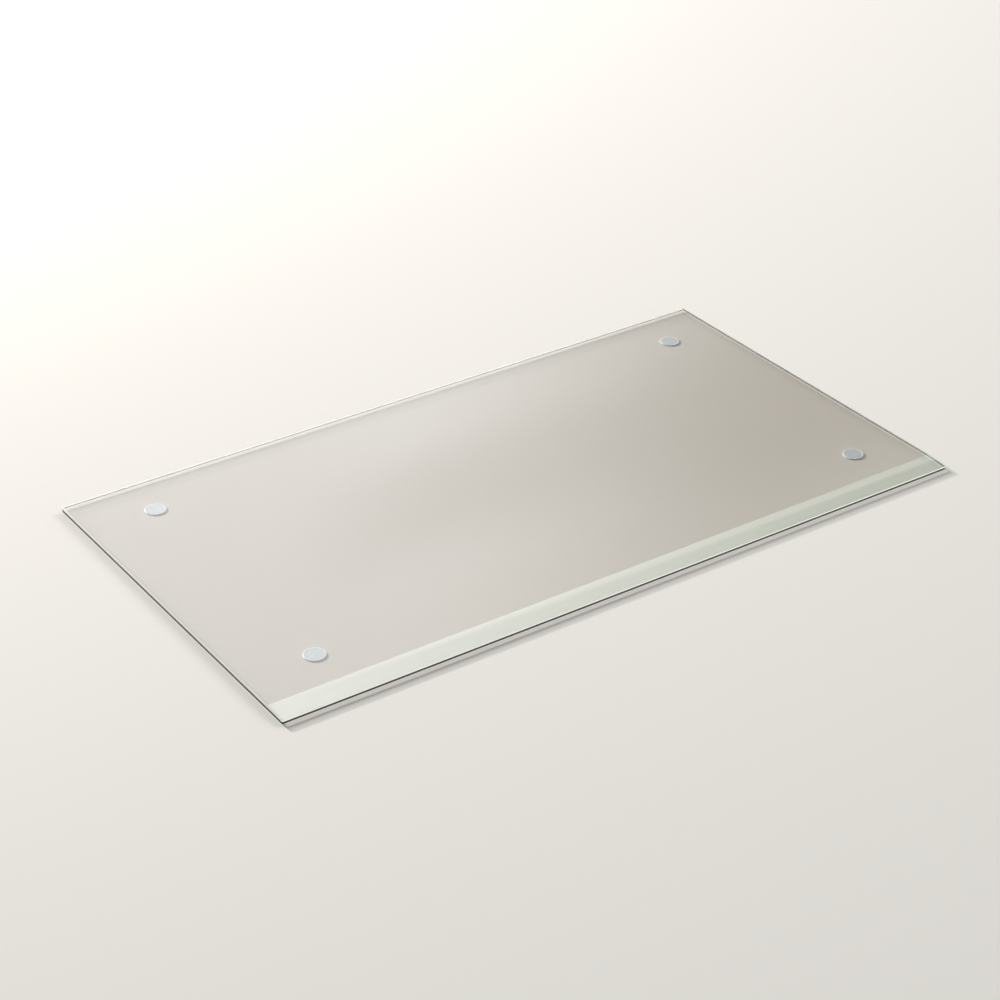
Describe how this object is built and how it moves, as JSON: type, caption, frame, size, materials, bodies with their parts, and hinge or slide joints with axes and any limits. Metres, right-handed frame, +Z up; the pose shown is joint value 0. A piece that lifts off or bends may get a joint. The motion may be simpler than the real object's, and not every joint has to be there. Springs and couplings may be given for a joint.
{
  "type": "chair mat",
  "caption": "Clear toughened-glass floor mat with a wide shallow bevel along one long edge, held just off the floor by round clear bumpers.",
  "frame": {"origin": "on the floor, under the middle of the sheet", "axes": "+X along the long side, to the right seen from the bevelled edge; +Y from the bevelled front edge to the back edge; +Z up"},
  "size_m": [0.9144, 0.508, 0.008],
  "materials": {
    "clear_glass": "polished, with a ground edge and a faint green-grey tint",
    "clear_silicone": "smooth, translucent blue-white",
    "adhesive": "satin, translucent blue-white"
  },
  "bodies": {
    "root": {"glass_sheet": "clear_glass", "bumper_front_left": "clear_silicone", "bumper_front_right": "clear_silicone", "bumper_rear_left": "clear_silicone", "bumper_rear_right": "clear_silicone", "adhesive_front_left": "adhesive", "adhesive_front_right": "adhesive", "adhesive_rear_left": "adhesive", "adhesive_rear_right": "adhesive"}
  },
  "joints": []
}
